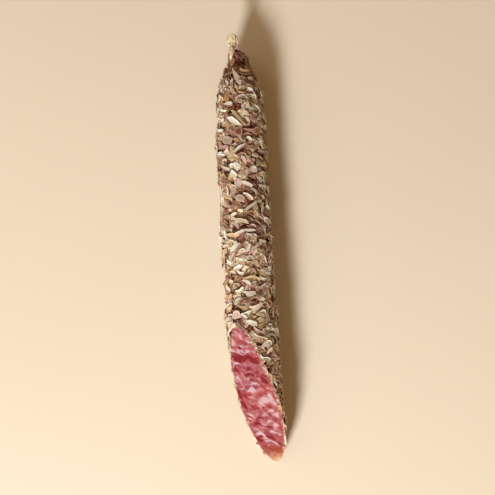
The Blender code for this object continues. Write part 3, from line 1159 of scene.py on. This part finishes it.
def make_coat():
    """The layers from the casing outwards: spacing, gaps, and ranges of length, width,
    thickness and height for each."""
    rng = np.random.default_rng(SEED)
    clear = marked_spots()
    make_crumbs(
        "onion_crumbs",
        lots_of(rng, 1.6, -0.9, (0.9, 2.3), (0.7, 1.6), (0.5, 0.9), (-1.8, -1.4), DARK_MIX),
        flake_material("onion_crumb", 0.2),
    )
    make_chips(
        "onion_chips_dark",
        lots_of(rng, 3.0, -0.6, (2.6, 6.0), (2.0, 4.2), (0.2, 0.35), (-1.5, -1.0), MIDDLE_MIX),
        flake_material("onion_chip_dark", 0.35),
    )
    make_ribbons(
        "onion_slivers_tan",
        lots_of(rng, 3.2, -0.4, (3.0, 6.8), (1.2, 2.5), (0.2, 0.35), (-1.3, -0.8), MIDDLE_MIX, clear),
        flake_material("onion_sliver_tan", 0.25),
    )
    make_chips(
        "onion_chips_pale",
        together(
            lots_of(rng, 4.6, -0.25, (2.8, 6.2), (1.6, 3.4), (0.2, 0.35), (-1.1, -0.6), PALE_MIX, clear),
            marked_lots(rng, MARKED_CHIPS),
        ),
        flake_material("onion_chip_pale", 0.4),
    )
    make_ribbons(
        "onion_slivers_cream",
        together(
            lots_of(rng, 3.2, -0.25, (3.0, 7.2), (1.1, 2.3), (0.2, 0.4), (-0.95, -0.4), PALE_MIX, clear),
            marked_lots(rng, MARKED_SLIVERS),
        ),
        flake_material("onion_sliver_cream", 0.2),
    )
    make_chips("onion_edge", edge_lots(rng), flake_material("onion_edge", 0.3), lie_on_cut)


# ---------------------------------------------------------------- tail

# Rows are points of a path, and a radius there. The first is the core, from inside the nose up
# through the stalk to the knot, and the others are folds of casing round it.
TAIL_STRANDS = (
    (
        (-3.9, -5.8, 18.7, 0.4),
        (-3.7, -4.3, 19.6, 0.75),
        (-3.3, -2.4, 20.2, 0.95),
        (-2.9, -0.4, 19.9, 1.05),
        (-2.6, 1.4, 19.4, 1.2),
        (-2.3, 3.0, 19.5, 1.4),
        (-2.1, 4.8, 20.0, 1.5),
        (-2.2, 6.3, 20.4, 1.2),
        (-2.5, 7.3, 20.6, 0.5),
    ),
    (
        (-3.2, 0.2, 18.8, 0.4),
        (-3.8, 1.6, 18.8, 0.75),
        (-4.5, 3.2, 19.0, 0.95),
        (-4.3, 4.9, 19.5, 1.0),
        (-3.5, 6.3, 20.0, 0.8),
        (-2.7, 7.1, 20.3, 0.4),
    ),
    (
        (0.2, -1.4, 18.0, 0.35),
        (-0.5, 0.3, 18.7, 0.55),
        (-1.0, 1.9, 18.9, 0.8),
        (-0.7, 3.6, 19.1, 0.95),
        (-0.3, 5.1, 19.4, 0.75),
        (-0.9, 6.5, 19.9, 0.4),
    ),
    (
        (-2.6, -1.0, 17.9, 0.9),
        (-2.6, 0.8, 17.7, 1.0),
        (-2.5, 2.4, 17.7, 1.3),
        (-2.4, 4.0, 17.9, 1.6),
        (-2.4, 5.6, 18.6, 1.5),
        (-2.4, 7.0, 19.4, 0.7),
    ),
)
STALK_PINK = (-0.6, 3.4)  # places along it between which the stalk's pink streaks and its painted shade fade
TAIL_SIDES = 28
TAIL_STEPS = 8  # rings between two points of a path
FOLDS = ((4, 0.16, 0.5), (7, 0.12, -0.3), (11, 0.06, 0.2))  # round it, share deep, twist


def smooth_path(points, steps):
    """A Catmull-Rom curve through the points."""
    points = np.array(points, float)
    padded = np.concatenate((2 * points[:1] - points[1:2], points, 2 * points[-1:] - points[-2:-1]))
    found = []
    for a, b, c, d in zip(padded, padded[1:], padded[2:], padded[3:]):
        for t in np.arange(steps) / steps:
            found.append(
                0.5 * (2 * b + (c - a) * t + (2 * a - 5 * b + 4 * c - d) * t**2
                       + (3 * b - a - 3 * c + d) * t**3)
            )
    return np.array(found + [points[-1]])


def strand(path, number):
    """A folded, crumpled strand: its points, and its grain, along it and round it."""
    curve = smooth_path(path, TAIL_STEPS)
    middle, radius = curve[:, :3], curve[:, 3]
    heading = np.gradient(middle, axis=0)
    heading /= np.linalg.norm(heading, axis=1, keepdims=True)
    across = np.cross((0.0, 0.0, 1.0), heading)
    across /= np.linalg.norm(across, axis=1, keepdims=True)
    up = np.cross(heading, across)
    travelled = np.concatenate(((0,), np.cumsum(np.linalg.norm(np.diff(middle, axis=0), axis=1))))
    angle = np.arange(TAIL_SIDES) * 2 * np.pi / TAIL_SIDES
    lobes = sum(
        deep * np.cos(folds * angle + twist * travelled[:, None] + number + folds)
        for folds, deep, twist in FOLDS
    )
    lobed = radius[:, None] * (1 + lobes)
    points = (
        middle[:, None, :]
        + (lobed * np.cos(angle))[..., None] * across[:, None, :]
        + (0.75 * lobed * np.sin(angle))[..., None] * up[:, None, :]
    ).reshape(-1, 3)
    centres = np.repeat(middle, TAIL_SIDES, axis=0)
    crumple = 1 + 0.30 * noise(points, 1.5, 61) + 0.18 * noise(points, 0.7, 62)
    points = centres + (points - centres) * crumple[:, None]
    around = np.tile(angle, len(middle))
    length = np.repeat(travelled, TAIL_SIDES)
    return points, np.stack((length, np.cos(around) * 1.2, np.sin(around) * 1.2), axis=1)


def make_tail():
    """The casing's end, gathered into a stalk and knotted."""
    points, faces, places, grains = [], [], [], []
    first = 0
    for number, path in enumerate(TAIL_STRANDS):
        found, grain_layer = strand(path, number)
        rings = len(found) // TAIL_SIDES
        ring = np.arange(TAIL_SIDES)
        for face, face_places in (
            grid_faces(rings, TAIL_SIDES, True),
            cap_face(ring[::-1]),
            cap_face((rings - 1) * TAIL_SIDES + ring),
        ):
            faces.append(face + first)
            places.append((face_places + (number, 0)) / (len(TAIL_STRANDS), 1))
        points.append(found)
        grains.append(grain_layer)
        first += len(found)
    points = np.concatenate(points)
    streaked = blend(-0.3, 0.3, noise(points * (1, 0.2, 1), 1.6, 63))
    # Painted shade: the stalk's right side, away from the key light, gets the pink-maroon root colour in
    # full.
    streaked = np.maximum(streaked, blend(-2.2, -1.2, points[:, 0]))
    make_piece(
        "twisted_tail",
        points,
        faces,
        places,
        tail_material(),
        # The root layer holds the pink streaks together with painted shade on the stalk's right side.
        {"grain": np.concatenate(grains), "root": 0.8 * streaked * (1 - blend(*STALK_PINK, points[:, 1]))},
    )


# ---------------------------------------------------------------- room

FLOOR_REACH = 30.0
TARGET = Vector((0.0, 0.0, 0.011))
CAMERA_ELEVATION = math.radians(80)
CAMERA_ROLL = math.radians(3.8)
CAMERA_DISTANCE = 0.9
CAMERA_LENS = 129.0
LIGHTS = {  # the way to each from the target, distance, size, watts, colour
    "key": ((-0.34, -0.78, 0.53), 1.4, 0.30, 26.2, (1.0, 0.955, 0.875)),
    "fill": ((-0.75, 0.1, 0.8), 1.6, 1.4, 3.6, (1.0, 0.88, 0.74)),
}
WORLD_COLOUR = (1.0, 0.60, 0.27, 1)
WORLD_STRENGTH = 0.26


def make_floor():
    mesh = bpy.data.meshes.new("floor")
    corners = [(-1, -1), (1, -1), (1, 1), (-1, 1)]
    mesh.from_pydata([(x * FLOOR_REACH, y * FLOOR_REACH, 0) for x, y in corners], [], [(0, 1, 2, 3)])
    made, principled = shader("floor_paint")
    shade = grain(made, place(made), 3.0)
    colour = ramp(made, shade, ((0.3, (0.80, 0.74, 0.64)), (0.7, (0.83, 0.77, 0.67))))
    wire(made, principled, Base_Color=colour, Roughness=0.85, Specular_IOR_Level=0.2)
    mesh.materials.append(made)
    floor = bpy.data.objects.new("floor", mesh)
    bpy.context.scene.collection.objects.link(floor)


def aim(thing, spot, roll=0.0):
    way = spot - thing.location
    turn = way.to_track_quat("-Z", "Y").to_matrix().to_4x4()
    thing.rotation_euler = (turn @ Matrix.Rotation(roll, 4, "Z")).to_euler()


def make_light(name, way, distance, size, watts, colour):
    data = bpy.data.lights.new(name, "AREA")
    data.size = size
    data.energy = watts
    data.color = colour
    lamp = bpy.data.objects.new(name, data)
    lamp.location = TARGET + Vector(way).normalized() * distance
    bpy.context.scene.collection.objects.link(lamp)
    aim(lamp, TARGET)


def make_room():
    make_floor()
    for name, settings in LIGHTS.items():
        make_light(name, *settings)
    world = bpy.data.worlds.new("studio")
    bpy.context.scene.world = world
    world.use_nodes = True
    background = world.node_tree.nodes["Background"]
    background.inputs["Color"].default_value = WORLD_COLOUR
    background.inputs["Strength"].default_value = WORLD_STRENGTH
    data = bpy.data.cameras.new("camera")
    data.lens = CAMERA_LENS
    camera = bpy.data.objects.new("camera", data)
    bpy.context.scene.collection.objects.link(camera)
    back = Vector((0, -math.cos(CAMERA_ELEVATION), math.sin(CAMERA_ELEVATION)))
    camera.location = TARGET + back * CAMERA_DISTANCE
    aim(camera, TARGET, -CAMERA_ROLL)
    bpy.context.scene.camera = camera
    bpy.context.scene.view_settings.view_transform = "Standard"


make_casing()
make_face()
make_coat()
make_tail()
make_room()
